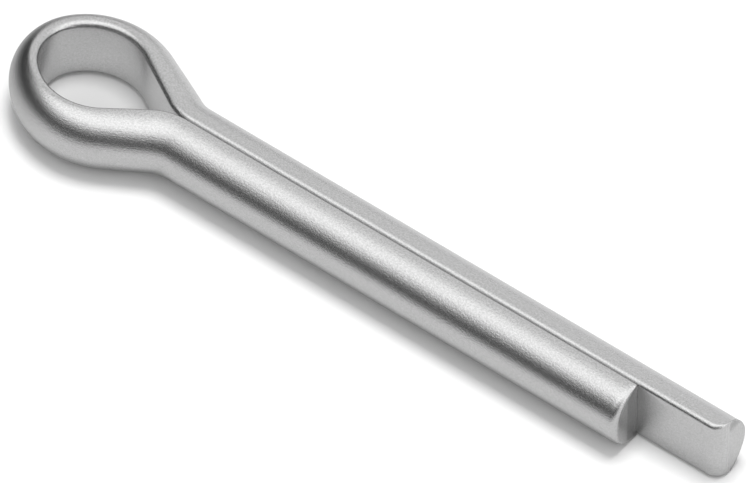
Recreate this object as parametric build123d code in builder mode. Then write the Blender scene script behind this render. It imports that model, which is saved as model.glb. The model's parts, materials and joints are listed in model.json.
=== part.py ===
"""Cotter pin: one half-round wire folded back on itself, with an eye and an extended prong.

The frame is in millimetres. The origin is on the shank's axis, where the closed shank starts behind
the eye. +X runs along the shank to the tips, +Z is up, and the pin lies flat: the eye is level.
"""
from build123d import *
from math import acos, ceil, cos, degrees, radians, sin
import os

# Shank: the two legs together make one round pin
shank_diameter = 5.6
shank_length = 38.1          # closed round part, from the neck to the end of the short leg
prong_extension = 7.0        # how far the long leg runs past the short one
leg_gap = 0.1                # between the two flats
flat_corner_radius = 0.36    # rounded edges of the half-round wire

# Eye, measured to the wire's flat, which faces inwards
crown_radius = 2.85          # the tight bend at the far end of the eye
crown_half_angle = 40.0
crown_thickness = 2.05       # the bend thins the wire, most about the crown
thin_half_length = 3.3       # of the thinnest stretch, each way from the crown's middle
neck_bend_radius = 4.4

# The two sides of the eye differ a little, as the wire is bent from one side
long_side_radius = 4.45
long_side_flare = 30.0       # angle between the eye's straight flank and the shank
short_side_radius = 4.68
short_side_flare = 34.5

# Sheared ends
short_end_roll = 0.6         # roll-over on the rounded back of the short leg
long_end_roll = 1.0          # roll-over on the flat of the long leg

section_spacing = 1.2        # between the sections that the eye is lofted through

# Derived
shank_radius = shank_diameter / 2
flat_offset = leg_gap / 2
leg_thickness = shank_radius - flat_offset


def flank_length(side_radius, flare):
    """Length of the straight flank between a side arc of the eye and the neck bend."""
    side_centre_y = (crown_radius - side_radius) * sin(radians(crown_half_angle))
    flank_start_y = side_centre_y + side_radius * cos(radians(flare))
    flank_end_y = flat_offset + neck_bend_radius * (1 - cos(radians(flare)))
    return (flank_start_y - flank_end_y) / sin(radians(flare))


def neck_reach(side_radius, flare):
    """Distance along X from the crown's centre to the end of the neck bend."""
    side_centre_x = (side_radius - crown_radius) * cos(radians(crown_half_angle))
    flank_start_x = side_centre_x + side_radius * sin(radians(flare))
    flank_x = flank_length(side_radius, flare) * cos(radians(flare))
    return flank_start_x + flank_x + neck_bend_radius * sin(radians(flare))


long_neck_reach = neck_reach(long_side_radius, long_side_flare)
short_neck_reach = neck_reach(short_side_radius, short_side_flare)
long_neck_x = long_neck_reach - max(long_neck_reach, short_neck_reach)

# The line that the wire's flat follows round the eye, from the long leg's neck to the short leg's
with BuildLine() as eye_line:
    long_neck = JernArc((long_neck_x, flat_offset), (-1, 0), neck_bend_radius, -long_side_flare)
    long_flank_run = (long_neck % 1) * flank_length(long_side_radius, long_side_flare)
    long_flank = Line(long_neck @ 1, long_neck @ 1 + long_flank_run)
    long_side_turn = 90 + long_side_flare - crown_half_angle
    long_side = JernArc(long_flank @ 1, long_flank % 1, long_side_radius, long_side_turn)
    crown = JernArc(long_side @ 1, long_side % 1, crown_radius, 2 * crown_half_angle)
    short_side_turn = 90 + short_side_flare - crown_half_angle
    short_side = JernArc(crown @ 1, crown % 1, short_side_radius, short_side_turn)
    short_flank_run = (short_side % 1) * flank_length(short_side_radius, short_side_flare)
    short_flank = Line(short_side @ 1, short_side @ 1 + short_flank_run)
    short_neck = JernArc(short_flank @ 1, short_flank % 1, neck_bend_radius, -short_side_flare)


def wire_section(edge, position, thickness):
    """The half-round wire's section across its flat line, with +X out of its rounded back."""
    along = edge % position
    outwards = Vector(along.Y, -along.X, 0)
    back_radius = thickness + flat_offset
    back_limit = degrees(acos(flat_offset / back_radius))
    with BuildSketch(Plane(origin=edge @ position, x_dir=outwards, z_dir=along)) as section:
        with BuildLine():
            centre = (-flat_offset, 0)
            if thickness == leg_thickness:
                back = CenterArc(centre, shank_radius, -back_limit, 2 * back_limit)
            else:
                back = EllipticalCenterArc(
                    centre, back_radius, shank_radius, -back_limit, arc_size=2 * back_limit
                )
            Line(back @ 1, back @ 0)
        make_face()
        fillet(vertices(), flat_corner_radius)
    return section.sketch.face()


def thickness_at(travel):
    """The wire's thickness at a distance along the eye's line: thin at the crown, full at the necks."""
    half_length = crown_travel if travel < crown_travel else eye_line_length - crown_travel
    share = (abs(travel - crown_travel) - thin_half_length) / (half_length - thin_half_length)
    share = min(max(share, 0), 1)
    return crown_thickness + (leg_thickness - crown_thickness) * share**2 * (3 - 2 * share)


eye_edges = [long_neck, long_flank, long_side, crown, short_side, short_flank, short_neck]
eye_line_length = sum(edge.length for edge in eye_edges)
crown_travel = sum(edge.length for edge in eye_edges[:3]) + crown.length / 2

eye_sections = []
edge_start = 0
for edge in eye_edges:
    steps = ceil(edge.length / section_spacing)
    for step in range(steps):
        travel = edge_start + edge.length * step / steps
        eye_sections.append(wire_section(edge, step / steps, thickness_at(travel)))
    edge_start += edge.length
eye_sections.append(wire_section(short_neck, 1, leg_thickness))

with BuildPart() as cotter_pin:
    eye = loft(eye_sections, mode=Mode.PRIVATE)
    long_run = long_neck_x - shank_length - prong_extension
    long_leg = extrude(eye_sections[0], amount=long_run, mode=Mode.PRIVATE)
    short_run = shank_length - (short_neck @ 1).X
    short_leg = extrude(eye_sections[-1], amount=short_run, mode=Mode.PRIVATE)
    # The three solids meet face to face and run on smoothly, so they are glued, not intersected
    add(eye.solid().fuse(long_leg.solid(), short_leg.solid(), glue=True))

    end_faces = faces().filter_by(Plane.YZ).sort_by(Axis.X)
    long_end = end_faces[-1]
    short_end = end_faces[-2]
    fillet(long_end.edges().filter_by(GeomType.LINE), long_end_roll)
    fillet(short_end.edges().filter_by(GeomType.LINE, reverse=True), short_end_roll)

cotter_pin.part.label = "cotter_pin"
os.makedirs("parts", exist_ok=True)
export_step(cotter_pin.part, "parts/cotter_pin.step")
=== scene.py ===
"""Cotter pin: the finish and fine shape of one bent half-round wire, on a pale floor."""
import json
import math

import bmesh
import bpy
import numpy as np
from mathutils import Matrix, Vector


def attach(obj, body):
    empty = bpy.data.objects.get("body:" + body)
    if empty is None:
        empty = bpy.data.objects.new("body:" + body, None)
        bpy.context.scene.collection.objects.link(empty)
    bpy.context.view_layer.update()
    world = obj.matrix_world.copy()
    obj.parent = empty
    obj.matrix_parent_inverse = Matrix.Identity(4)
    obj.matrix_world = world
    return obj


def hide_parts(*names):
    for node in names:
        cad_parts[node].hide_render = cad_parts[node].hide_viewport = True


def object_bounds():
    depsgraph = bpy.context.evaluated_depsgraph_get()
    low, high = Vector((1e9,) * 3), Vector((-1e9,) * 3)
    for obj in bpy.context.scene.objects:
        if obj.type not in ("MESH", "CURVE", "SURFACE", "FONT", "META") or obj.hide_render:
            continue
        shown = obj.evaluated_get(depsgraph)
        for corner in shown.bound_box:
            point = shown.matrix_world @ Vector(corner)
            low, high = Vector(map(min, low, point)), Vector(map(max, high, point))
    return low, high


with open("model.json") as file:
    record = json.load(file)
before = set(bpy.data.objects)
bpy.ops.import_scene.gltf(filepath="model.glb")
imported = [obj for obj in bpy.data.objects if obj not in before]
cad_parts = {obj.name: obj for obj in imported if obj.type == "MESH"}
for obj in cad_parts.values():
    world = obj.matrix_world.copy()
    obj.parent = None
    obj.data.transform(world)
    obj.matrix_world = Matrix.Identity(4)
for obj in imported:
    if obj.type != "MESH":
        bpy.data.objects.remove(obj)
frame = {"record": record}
cad_low, cad_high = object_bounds()

MM = 0.001

# Sizes in millimetres; "lean" carries a flat towards the other leg, "corner" rounds the section
shank_mount = next(m for m in frame["record"]["mounts"] if m["name"] == "shank")
SHANK_RADIUS = shank_mount["dims"]["r_mm"]
SHORT_TIP_X = 38.1
TIP_TRIM = 0.15
LONG_TIP_X = cad_high.x / MM - TIP_TRIM
HALF_HEIGHT = cad_high.z / MM
FLAT_OFFSET = 0.05
LEG_THICKNESS = SHANK_RADIUS - FLAT_OFFSET
CROWN = {"lean": 0.04, "corner": 0.5}
LONG_LEG = {"lean": 0.14, "corner": 0.42}
SHORT_LEG = {"lean": -0.05, "corner": 0.24}
CROWN_RADIUS = 2.85
CROWN_HALF_ANGLE = math.radians(40.0)
CROWN_THICKNESS = 2.05
THIN_HALF_LENGTH = 3.3
NECK_RADIUS = 4.4
LONG_SIDE = {"radius": 4.45, "flare": math.radians(30.0)}
SHORT_SIDE = {"radius": 4.68, "flare": math.radians(34.5)}
LONG_ROLL = 1.0
SHORT_ROLL = 0.6
LONG_ROLL_DEPTH = 2.6
BREAK_SLOPE = 0.12

# Points of the mesh
BACK_POINTS = 60
CORNER_POINTS = 9
FLAT_POINTS = 15
EYE_SPACING = 0.11
LEG_SPACING = 0.22
END_RINGS = 14
CAP_RINGS = 10


# ---------------------------------------------------------------- the line that the wire follows
def half_line(side):
    """Runs of one half of the eye, from the crown's middle to the neck's end, for the upper side."""
    radius, flare = side["radius"], side["flare"]
    centre_y = (CROWN_RADIUS - radius) * math.sin(CROWN_HALF_ANGLE)
    flank_start_y = centre_y + radius * math.cos(flare)
    flank_end_y = FLAT_OFFSET + NECK_RADIUS * (1 - math.cos(flare))
    flank = (flank_start_y - flank_end_y) / math.sin(flare)
    return [
        ("arc", CROWN_RADIUS, CROWN_HALF_ANGLE),
        ("arc", radius, math.pi / 2 + flare - CROWN_HALF_ANGLE),
        ("line", flank),
        ("arc", -NECK_RADIUS, flare),
    ]


def walk(runs, spacing):
    """Points, headings and travelled distance along runs that start at the crown, heading up."""
    x, y, heading = -CROWN_RADIUS, 0.0, math.pi / 2
    points, headings, travel = [(x, y)], [heading], [0.0]
    for run in runs:
        length = run[1] if run[0] == "line" else abs(run[1]) * run[2]
        steps = max(2, round(length / spacing))
        for _ in range(steps):
            step = length / steps
            turn = 0.0 if run[0] == "line" else -step / run[1]
            chord = step if turn == 0.0 else 2 * abs(run[1]) * math.sin(abs(turn) / 2)
            x += chord * math.cos(heading + turn / 2)
            y += chord * math.sin(heading + turn / 2)
            heading += turn
            points.append((x, y))
            headings.append(heading)
            travel.append(travel[-1] + step)
    return np.array(points), np.array(headings), np.array(travel)


def smooth(share):
    share = np.clip(share, 0, 1)
    return share * share * (3 - 2 * share)


def half_wire(side, mirror, tip_x, crown_x, leg):
    """Stations from crown to tip: place, outward direction, thickness, distance along the wire, lean and corner."""
    points, headings, travel = walk(half_line(side), EYE_SPACING)
    share = (travel - THIN_HALF_LENGTH) / (travel[-1] - THIN_HALF_LENGTH)
    thickness = CROWN_THICKNESS + (LEG_THICKNESS - CROWN_THICKNESS) * smooth(share)
    neck_end = travel[-1]
    points[:, 0] += crown_x
    outward = np.stack([-np.sin(headings), np.cos(headings)], 1)
    neck_x = points[-1, 0]
    leg_steps = round((tip_x - neck_x) / LEG_SPACING)
    leg_x = np.linspace(neck_x, tip_x, leg_steps + 1)[1:]
    points = np.vstack([points, np.stack([leg_x, np.full(leg_steps, points[-1, 1])], 1)])
    outward = np.vstack([outward, np.tile([0.0, 1.0], (leg_steps, 1))])
    thickness = np.concatenate([thickness, np.full(leg_steps, LEG_THICKNESS)])
    travel = np.concatenate([travel, travel[-1] + leg_x - neck_x])
    points[:, 1] *= mirror
    outward[:, 1] *= mirror
    share = smooth(travel / neck_end)[:, None]
    shape = (1 - share) * [CROWN["lean"], CROWN["corner"]] + share * [leg["lean"], leg["corner"]]
    return points, outward, thickness, travel, shape


# ---------------------------------------------------------------- the half-round section
def section(thickness, lean=CROWN["lean"], radius=CROWN["corner"]):
    """Points round the half-round wire, as (out of the flat, up)."""
    a, b = thickness + FLAT_OFFSET, SHANK_RADIUS

    def back(angle):
        return np.array([a * math.cos(angle) - FLAT_OFFSET, b * math.sin(angle)])

    def normal(angle):
        n = np.array([b * math.cos(angle), a * math.sin(angle)])
        return n / np.linalg.norm(n)

    low, high = 0.0, math.pi / 2
    for _ in range(40):
        middle = (low + high) / 2
        if back(middle)[0] - radius * normal(middle)[0] > radius:
            low = middle
        else:
            high = middle
    limit = low
    corner = back(limit) - radius * normal(limit)
    corner_start = math.atan2(normal(limit)[1], normal(limit)[0])
    upper = [back(t) for t in np.linspace(0, limit, BACK_POINTS // 2 + 1)]
    for t in np.linspace(corner_start, math.pi, CORNER_POINTS + 1)[1:]:
        upper.append(corner + radius * np.array([math.cos(t), math.sin(t)]))
    upper += [np.array([0.0, z]) for z in np.linspace(corner[1], 0, FLAT_POINTS // 2 + 1)[1:]]
    upper = np.array(upper)
    upper[:, 0] -= lean * (1 - upper[:, 0] / thickness)
    upper[:, 1] *= min(1.0, HALF_HEIGHT / upper[:, 1].max())
    lower = upper[1:-1][::-1] * [1, -1]
    return np.vstack([upper, lower])


def ends_profile(ring, inset, kind):
    """Moves one section's points inwards, as the shear's roll-over does close to a cut end."""
    x, z = ring[:, 0].copy(), ring[:, 1].copy()
    if kind == "long":
        weight = np.clip(1 - x / LONG_ROLL_DEPTH, 0, 1) ** 1.5
        return np.stack([x + inset * weight, z * (1 - 0.04 * inset)], 1)
    weight = np.clip(x / LEG_THICKNESS, 0, 1)
    pull = inset * (0.35 + 0.65 * weight) * (0.3 + 0.7 * smooth((z + 2.2) / 2.6))
    length = np.hypot(x, z) + 1e-9
    keep = 1 - pull / np.maximum(length, 1.0) * np.clip(x / 0.5, 0, 1)
    return np.stack([x * keep, z * keep], 1)


def build_wire():
    crown_x = -max(reach(LONG_SIDE), reach(SHORT_SIDE))
    long_half = half_wire(LONG_SIDE, 1, LONG_TIP_X - LONG_ROLL, crown_x, LONG_LEG)
    short_half = half_wire(SHORT_SIDE, -1, SHORT_TIP_X - SHORT_ROLL, crown_x, SHORT_LEG)
    return long_half, short_half


def reach(side):
    points, _, _ = walk(half_line(side), EYE_SPACING)
    return points[-1, 0]


def place(point, outward, ring):
    """A section's ring in space."""
    out = np.zeros((len(ring), 3))
    out[:, :2] = point + ring[:, :1] * outward
    out[:, 2] = ring[:, 1]
    return out


long_half, short_half = build_wire()
rings = []
coordinates = []


def section_travel(ring):
    """Distance round a section, for the drawn lines."""
    steps = np.linalg.norm(np.diff(np.vstack([ring, ring[:1]]), axis=0), axis=1)
    return np.concatenate([[0], np.cumsum(steps)[:-1]])


def add_ring(point, outward, ring, along, cut=0.0, broken_and_shaded=None):
    """Adds a ring; cut marks a cut face and the last argument tells how far a point is inside its fracture zone.
    Both make the surface duller and darken its colour as painted shade; the fracture zone is also sloped.
    """
    made = place(np.array(point), outward, ring)
    marks = np.full(len(ring), cut)
    if cut and broken_and_shaded:
        rough_and_shaded = smooth((broken_and_shaded(ring) + 0.1) / 0.2)
        made[:, 0] -= BREAK_SLOPE * np.clip(broken_and_shaded(ring), 0, 1)
        marks += rough_and_shaded
    rings.append(made)
    around = section_travel(section(LEG_THICKNESS))
    coordinates.append(np.stack([np.full(len(ring), along), around, marks], 1))


def add_end(half, roll, kind, tip_first):
    """The rolled-over stretch close to a cut end, as rings from the leg out to the cut."""
    points, outward, thickness, travel, shape = half
    made = []
    for step in range(1, END_RINGS + 1):
        angle = math.pi / 2 * step / END_RINGS
        forward = roll * math.sin(angle)
        inset = roll * (1 - math.cos(angle))
        ring = ends_profile(section(LEG_THICKNESS, *shape[-1]), inset, kind)
        made.append((points[-1] + [forward, 0], outward[-1], ring, travel[-1] + forward, 0.0))
    last_point, last_out, last_ring, last_along, _ = made[-1]
    middle = np.array([last_ring[:, 0].mean(), 0.0])
    for step in range(1, CAP_RINGS + 1):
        share = 1 - step / (CAP_RINGS + 0.35)
        ring = middle + (last_ring - middle) * share
        made.append((last_point, last_out, ring, last_along, 1.0))
    return made[::-1] if tip_first else made


# the long end's fracture zone sits at its top outer corner, sloped and painted darker there as shade
for point, outward, ring, along, cut in add_end(long_half, LONG_ROLL, "long", True):
    add_ring(point, outward, ring, along, 0.5 * cut, lambda r: np.minimum(r[:, 1] - 1.6, r[:, 0] - 1.0))
points, outward, thickness, travel, shape = long_half
for i in range(len(points) - 1, 0, -1):
    add_ring(points[i], outward[i], section(thickness[i], *shape[i]), travel[i])
points, outward, thickness, travel, shape = short_half
for i in range(len(points)):
    add_ring(points[i], outward[i], section(thickness[i], *shape[i]), -travel[i])
# the short end's fracture zone lies along its flat, sloped and painted darker there as shade
for point, outward, ring, along, cut in add_end(short_half, SHORT_ROLL, "short", False):
    add_ring(point, outward, ring, -along, cut, lambda r: 1.15 - r[:, 0])

rings = np.array(rings) * MM
coordinates = np.array(coordinates)
count, around = rings.shape[:2]
faces = []
for i in range(count - 1):
    for j in range(around):
        k = (j + 1) % around
        faces.append((i * around + j, i * around + k, (i + 1) * around + k, (i + 1) * around + j))
faces.append(tuple(range(around))[::-1])
faces.append(tuple(range((count - 1) * around, count * around)))
mesh = bpy.data.meshes.new("pin_wire")
mesh.from_pydata(rings.reshape(-1, 3).tolist(), [], faces)
attribute = mesh.attributes.new("wire_place", "FLOAT_VECTOR", "POINT")
attribute.data.foreach_set("vector", coordinates.reshape(-1))
mesh.update()
edit = bmesh.new()
edit.from_mesh(mesh)
bmesh.ops.recalc_face_normals(edit, faces=edit.faces)
edit.to_mesh(mesh)
edit.free()
mesh.shade_smooth()
wire = bpy.data.objects.new("pin_wire", mesh)
bpy.context.scene.collection.objects.link(wire)
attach(wire, "root")
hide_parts("cotter_pin")


# ---------------------------------------------------------------- materials
def node(tree, kind, **values):
    """A new node; values are its own settings or its inputs."""
    made = tree.nodes.new(kind)
    for name, value in values.items():
        if hasattr(made, name):
            setattr(made, name, value)
        else:
            made.inputs[name].default_value = value
    return made


def set_range(made, low, high, to_low, to_high):
    made.inputs["From Min"].default_value = low
    made.inputs["From Max"].default_value = high
    made.inputs["To Min"].default_value = to_low
    made.inputs["To Max"].default_value = to_high


# the wire's grey, and the darker grey of painted shade on the cut ends' fracture zones
WIRE_GREY = 0.55
BREAK_SHADE_GREY = 0.36
WIRE_ROUGHNESS = 0.27
BREAK_ROUGHNESS = 0.5


def plated_wire():
    """Satin plate over drawn wire: lines along it, fine grain, duller cut ends with painted shade on them."""
    material = bpy.data.materials.new("plated_wire")
    material.use_nodes = True
    tree = material.node_tree
    shader = tree.nodes["Principled BSDF"]
    shader.inputs["Metallic"].default_value = 1.0
    place = node(tree, "ShaderNodeAttribute", attribute_name="wire_place")
    stretch = node(tree, "ShaderNodeVectorMath", operation="MULTIPLY")
    stretch.inputs[1].default_value = (2.8, 9.0, 1.0)
    lines = node(tree, "ShaderNodeTexNoise", Scale=1.0, Detail=3.0, Roughness=0.65)
    tree.links.new(place.outputs["Vector"], stretch.inputs[0])
    tree.links.new(stretch.outputs["Vector"], lines.inputs["Vector"])
    solid = node(tree, "ShaderNodeTexCoord")
    grain = node(tree, "ShaderNodeTexNoise", Scale=8000.0, Detail=2.0, Roughness=0.6)
    tree.links.new(solid.outputs["Object"], grain.inputs["Vector"])
    drawn = node(tree, "ShaderNodeBump", Strength=0.3, Distance=0.00003)
    tree.links.new(lines.outputs["Fac"], drawn.inputs["Height"])
    speckled = node(tree, "ShaderNodeBump", Strength=0.5, Distance=0.000022)
    tree.links.new(grain.outputs["Fac"], speckled.inputs["Height"])
    tree.links.new(drawn.outputs["Normal"], speckled.inputs["Normal"])
    tree.links.new(speckled.outputs["Normal"], shader.inputs["Normal"])
    # cut ends: the sheared zone is duller, the fracture zone duller still, and their darker grey is painted shade
    marks = node(tree, "ShaderNodeSeparateXYZ")
    tree.links.new(place.outputs["Vector"], marks.inputs[0])
    dull = node(tree, "ShaderNodeMapRange")
    set_range(dull, 0.0, 2.0, WIRE_ROUGHNESS, BREAK_ROUGHNESS)
    tree.links.new(marks.outputs["Z"], dull.inputs["Value"])
    tree.links.new(dull.outputs[0], shader.inputs["Roughness"])
    # painted shade: the cut faces, and most of all their fracture zones, get a darker grey
    darker = node(tree, "ShaderNodeMapRange")
    set_range(darker, 0.5, 2.0, WIRE_GREY, BREAK_SHADE_GREY)
    tree.links.new(marks.outputs["Z"], darker.inputs["Value"])
    mottle = node(tree, "ShaderNodeMapRange")
    set_range(mottle, 0.3, 0.7, 0.9, 1.1)
    tree.links.new(grain.outputs["Fac"], mottle.inputs["Value"])
    streak = node(tree, "ShaderNodeMapRange")
    set_range(streak, 0.3, 0.7, 0.96, 1.04)
    tree.links.new(lines.outputs["Fac"], streak.inputs["Value"])
    mixed = node(tree, "ShaderNodeMath", operation="MULTIPLY")
    tree.links.new(mottle.outputs[0], mixed.inputs[0])
    tree.links.new(streak.outputs[0], mixed.inputs[1])
    colour = node(tree, "ShaderNodeMath", operation="MULTIPLY")
    tree.links.new(mixed.outputs[0], colour.inputs[0])
    tree.links.new(darker.outputs[0], colour.inputs[1])
    tree.links.new(colour.outputs[0], shader.inputs["Base Color"])
    return material


wire.data.materials.append(plated_wire())


# ---------------------------------------------------------------- floor, world, camera
FLOOR_IN_METAL = 0.56
FLOOR_GLOW = 0.06
FLOOR_TONE = 0.58
FLOOR_TONE_IN_EYE = 0.42


def make_floor():
    """White paper, which keeps the pin's shadow."""
    floor_mesh = bpy.data.meshes.new("floor")
    half = 4.0
    z = cad_low.z
    corners = [(-half, -half, z), (half, -half, z), (half, half, z), (-half, half, z)]
    floor_mesh.from_pydata(corners, [], [(0, 1, 2, 3)])
    floor = bpy.data.objects.new("floor", floor_mesh)
    bpy.context.scene.collection.objects.link(floor)
    material = bpy.data.materials.new("floor_white")
    material.use_nodes = True
    tree = material.node_tree
    shader = tree.nodes["Principled BSDF"]
    shader.inputs["Roughness"].default_value = 1.0
    shader.inputs["Specular IOR Level"].default_value = 0.0
    output = tree.nodes["Material Output"]
    path = node(tree, "ShaderNodeLightPath")
    # in the metal the paper darkens away from the pin, on the camera's side
    place = node(tree, "ShaderNodeTexCoord")
    parts = node(tree, "ShaderNodeSeparateXYZ")
    tree.links.new(place.outputs["Object"], parts.inputs[0])
    away_y = node(tree, "ShaderNodeMapRange")
    set_range(away_y, -0.009, -0.033, 1.0, 0.22)
    tree.links.new(parts.outputs["Y"], away_y.inputs["Value"])
    away_x = node(tree, "ShaderNodeMapRange")
    set_range(away_x, -0.010, -0.034, 0.9, 0.22)
    tree.links.new(parts.outputs["X"], away_x.inputs["Value"])
    away = node(tree, "ShaderNodeMath", operation="MINIMUM")
    tree.links.new(away_y.outputs[0], away.inputs[0])
    tree.links.new(away_x.outputs[0], away.inputs[1])
    mirrored = node(tree, "ShaderNodeMath", operation="MULTIPLY")
    mirrored.inputs[1].default_value = FLOOR_IN_METAL
    tree.links.new(away.outputs[0], mirrored.inputs[0])
    tone = node(tree, "ShaderNodeMix", data_type="FLOAT")
    # the paper seen through the eye lies in the shade of its ring
    from_eye = node(tree, "ShaderNodeVectorMath", operation="DISTANCE")
    from_eye.inputs[1].default_value = (-0.008, 0.0, cad_low.z)
    tree.links.new(place.outputs["Object"], from_eye.inputs[0])
    eye_shade = node(tree, "ShaderNodeMapRange", interpolation_type="SMOOTHSTEP")
    set_range(eye_shade, 0.001, 0.0065, FLOOR_TONE_IN_EYE, FLOOR_TONE)
    tree.links.new(from_eye.outputs["Value"], eye_shade.inputs["Value"])
    tree.links.new(eye_shade.outputs[0], tone.inputs[2])
    tree.links.new(path.outputs["Is Glossy Ray"], tone.inputs[0])
    tree.links.new(mirrored.outputs[0], tone.inputs[3])
    tree.links.new(tone.outputs[0], shader.inputs["Base Color"])
    glow = node(tree, "ShaderNodeEmission")
    level = node(tree, "ShaderNodeMath", operation="MULTIPLY")
    level.inputs[1].default_value = FLOOR_GLOW
    tree.links.new(path.outputs["Is Camera Ray"], level.inputs[0])
    tree.links.new(level.outputs[0], glow.inputs["Strength"])
    both = node(tree, "ShaderNodeAddShader")
    tree.links.new(shader.outputs[0], both.inputs[0])
    tree.links.new(glow.outputs[0], both.inputs[1])
    tree.links.new(both.outputs[0], output.inputs["Surface"])
    floor.data.materials.append(material)


FAR_LIGHT = 0.92
NEAR_LIGHT = 1.66
SHADE_BY_HEIGHT = [(0.0, 0.03), (0.22, 0.05), (0.36, 0.13), (0.47, 0.30), (0.60, 0.62), (0.75, 1.0)]


def ramp(tree, stops, source):
    """Grey levels by position."""
    made = node(tree, "ShaderNodeValToRGB")
    elements = made.color_ramp.elements
    made.color_ramp.interpolation = "EASE"
    while len(elements) > 1:
        elements.remove(elements[-1])
    elements[0].position = stops[0][0]
    elements[0].color = (stops[0][1],) * 3 + (1,)
    for position, level in stops[1:]:
        element = elements.new(position)
        element.color = (level,) * 3 + (1,)
    tree.links.new(source, made.inputs[0])
    return made


def make_world():
    """A white studio: bright over the camera, calmer behind the pin, dark low down on the camera's side."""
    world = bpy.data.worlds.new("studio")
    bpy.context.scene.world = world
    world.use_nodes = True
    tree = world.node_tree
    background = tree.nodes["Background"]
    place = node(tree, "ShaderNodeTexCoord")
    parts = node(tree, "ShaderNodeSeparateXYZ")
    tree.links.new(place.outputs["Generated"], parts.inputs[0])
    facing = node(tree, "ShaderNodeVectorMath", operation="DOT_PRODUCT")
    facing.inputs[1].default_value = (-0.55, -0.835, 0.0)
    above = node(tree, "ShaderNodeVectorMath", operation="DOT_PRODUCT")
    above.inputs[1].default_value = (0.15, -0.99, 0.0)
    tree.links.new(place.outputs["Generated"], above.inputs[0])
    tree.links.new(place.outputs["Generated"], facing.inputs[0])
    overhead = node(tree, "ShaderNodeMapRange", interpolation_type="SMOOTHSTEP")
    set_range(overhead, -0.22, 0.30, FAR_LIGHT, NEAR_LIGHT)
    tree.links.new(above.outputs["Value"], overhead.inputs["Value"])
    shade_side = node(tree, "ShaderNodeMapRange", interpolation_type="SMOOTHSTEP")
    set_range(shade_side, -0.35, 0.25, 0.0, 1.0)
    tree.links.new(facing.outputs["Value"], shade_side.inputs["Value"])
    # to the left the dark side reaches higher
    leftward = node(tree, "ShaderNodeMapRange")
    set_range(leftward, -0.45, -0.95, 0.0, 0.22)
    tree.links.new(parts.outputs["X"], leftward.inputs["Value"])
    height = node(tree, "ShaderNodeMath", operation="SUBTRACT")
    tree.links.new(parts.outputs["Z"], height.inputs[0])
    tree.links.new(leftward.outputs[0], height.inputs[1])
    falling = ramp(tree, SHADE_BY_HEIGHT, height.outputs[0])
    shade = node(tree, "ShaderNodeMix", data_type="RGBA")
    shade.inputs[6].default_value = (1, 1, 1, 1)
    tree.links.new(shade_side.outputs[0], shade.inputs[0])
    tree.links.new(falling.outputs[0], shade.inputs[7])
    tree.links.new(shade.outputs[2], background.inputs["Color"])
    tree.links.new(overhead.outputs[0], background.inputs["Strength"])


def make_floor_light():
    """A wide soft light for the paper alone: the metal does not mirror it."""
    data = bpy.data.lights.new("paper_light", "AREA")
    data.shape = "SQUARE"
    data.size = 0.28
    data.energy = 6.0
    light = bpy.data.objects.new("paper_light", data)
    light.location = (0.0, 0.085, 0.8)
    light.rotation_mode = "QUATERNION"
    light.rotation_quaternion = (-light.location).to_track_quat("-Z", "Y")
    light.visible_glossy = False
    light.visible_camera = False
    bpy.context.scene.collection.objects.link(light)


def make_camera():
    """A long lens, aimed from the crown of the eye."""
    azimuth, elevation = math.radians(37.44), math.radians(50.17)
    distance, width = 1.016, 0.0512
    crown = Vector((-max(reach(LONG_SIDE), reach(SHORT_SIDE)) * MM, 0, 0))
    right = Vector((math.cos(azimuth), math.sin(azimuth), 0))
    back = Vector(
        (
            math.sin(azimuth) * math.cos(elevation),
            -math.cos(azimuth) * math.cos(elevation),
            math.sin(elevation),
        )
    )
    up = back.cross(right)
    target = crown + right * 0.02011 - up * 0.010986
    data = bpy.data.cameras.new("camera")
    data.sensor_width = 36.0
    data.lens = 36.0 * distance / width
    data.clip_start = 0.05
    data.clip_end = 20
    camera = bpy.data.objects.new("camera", data)
    camera.location = target + back * distance
    camera.rotation_mode = "QUATERNION"
    camera.rotation_quaternion = (-back).to_track_quat("-Z", "Y")
    bpy.context.scene.collection.objects.link(camera)
    bpy.context.scene.camera = camera


make_floor()
make_world()
make_floor_light()
make_camera()
bpy.context.scene.view_settings.view_transform = "Standard"
